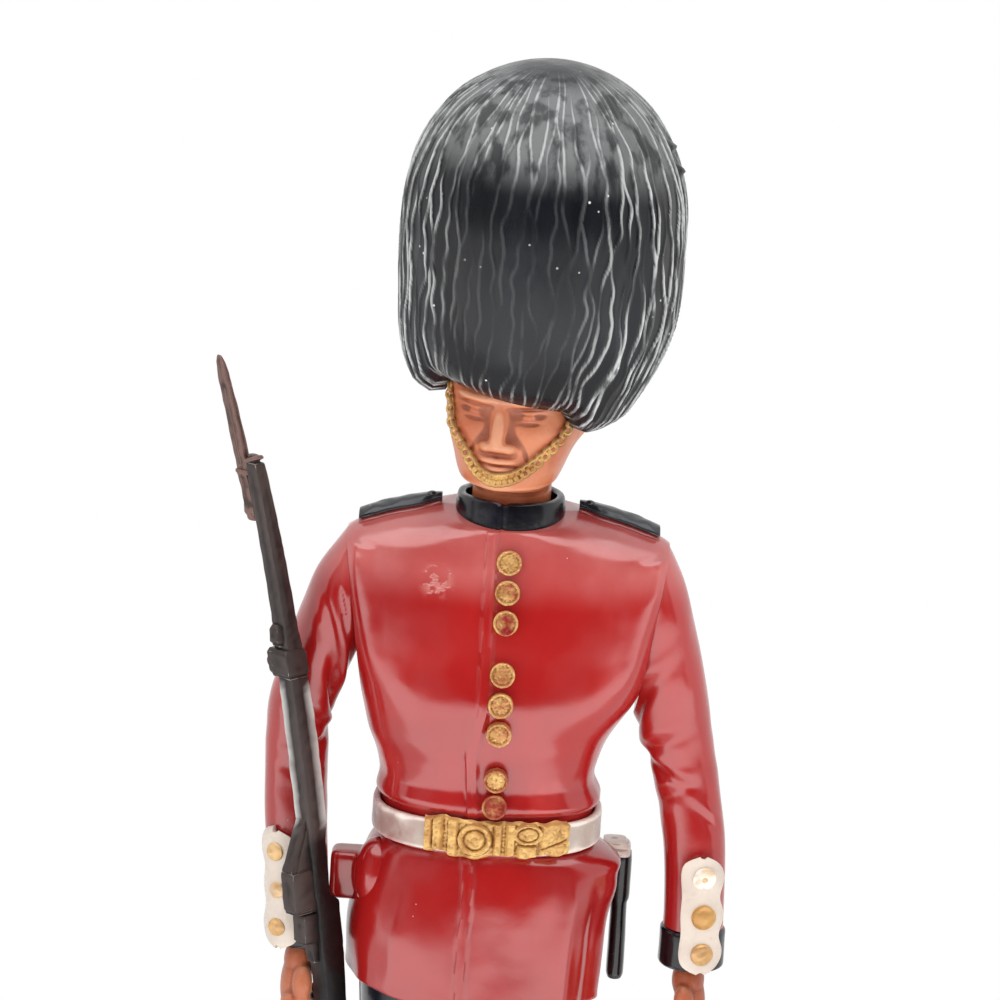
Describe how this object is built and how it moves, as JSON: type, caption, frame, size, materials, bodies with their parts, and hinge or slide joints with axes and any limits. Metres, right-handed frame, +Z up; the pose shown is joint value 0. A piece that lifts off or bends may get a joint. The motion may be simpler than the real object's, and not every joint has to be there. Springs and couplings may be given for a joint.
{
  "type": "toy soldier figure",
  "caption": "Painted toy guardsman in a tall fur cap and scarlet tunic, standing on a base with a shouldered rifle; the head turns and both arms swing on pegs.",
  "frame": {"origin": "middle of the base plate's underside", "axes": "+Z up through the figure, the figure faces -Y, +X to the figure's left"},
  "size_m": [0.025, 0.018, 0.067],
  "materials": {
    "scarlet_paint": "gloss enamel, worn",
    "dark_paint": "gloss enamel",
    "white_paint": "gloss enamel, stained",
    "gold_paint": "metallic paint, worn",
    "flesh_paint": "satin enamel with a brown wash",
    "fur_paint": "satin enamel, dry-brushed grey",
    "rifle_plastic": "satin moulded",
    "base_paint": "gloss enamel"
  },
  "bodies": {
    "figure": {"base_plate": "base_paint", "left_boot": "dark_paint", "right_boot": "dark_paint", "left_trouser_leg": "dark_paint", "right_trouser_leg": "dark_paint", "tunic_skirt": "scarlet_paint", "tunic_body": "scarlet_paint", "tunic_collar": "dark_paint", "left_shoulder_strap": "dark_paint", "right_shoulder_strap": "dark_paint", "tunic_buttons": "gold_paint", "waist_belt": "white_paint", "belt_clasp": "gold_paint", "bayonet_frog": "white_paint", "bayonet_scabbard": "dark_paint"},
    "head": {"head": "flesh_paint", "bearskin_cap": "fur_paint", "chin_chain": "gold_paint"},
    "left_arm": {"left_sleeve": "scarlet_paint", "left_cuff": "dark_paint", "left_cuff_flap": "white_paint", "left_cuff_buttons": "gold_paint", "left_hand": "flesh_paint"},
    "right_arm": {"right_sleeve": "scarlet_paint", "right_cuff": "dark_paint", "right_cuff_flap": "white_paint", "right_cuff_buttons": "gold_paint", "right_hand": "flesh_paint", "rifle": "rifle_plastic", "bayonet": "rifle_plastic"}
  },
  "joints": [
    {"name": "neck_turn", "type": "hinge", "parent": "figure", "child": "head", "pos_m": [0, 0, 0.0485], "axis": [0, 0, 1], "range_deg": [-80, 80]},
    {"name": "left_shoulder_swing", "type": "hinge", "parent": "figure", "child": "left_arm", "pos_m": [0.00626, 0.0001, 0.04509], "axis": [-0.9903, 0, 0.1392], "range_deg": [-60, 160]},
    {"name": "right_shoulder_swing", "type": "hinge", "parent": "figure", "child": "right_arm", "pos_m": [-0.00626, 0.0001, 0.04509], "axis": [-0.9903, 0, -0.1392], "range_deg": [-2, 160]}
  ]
}
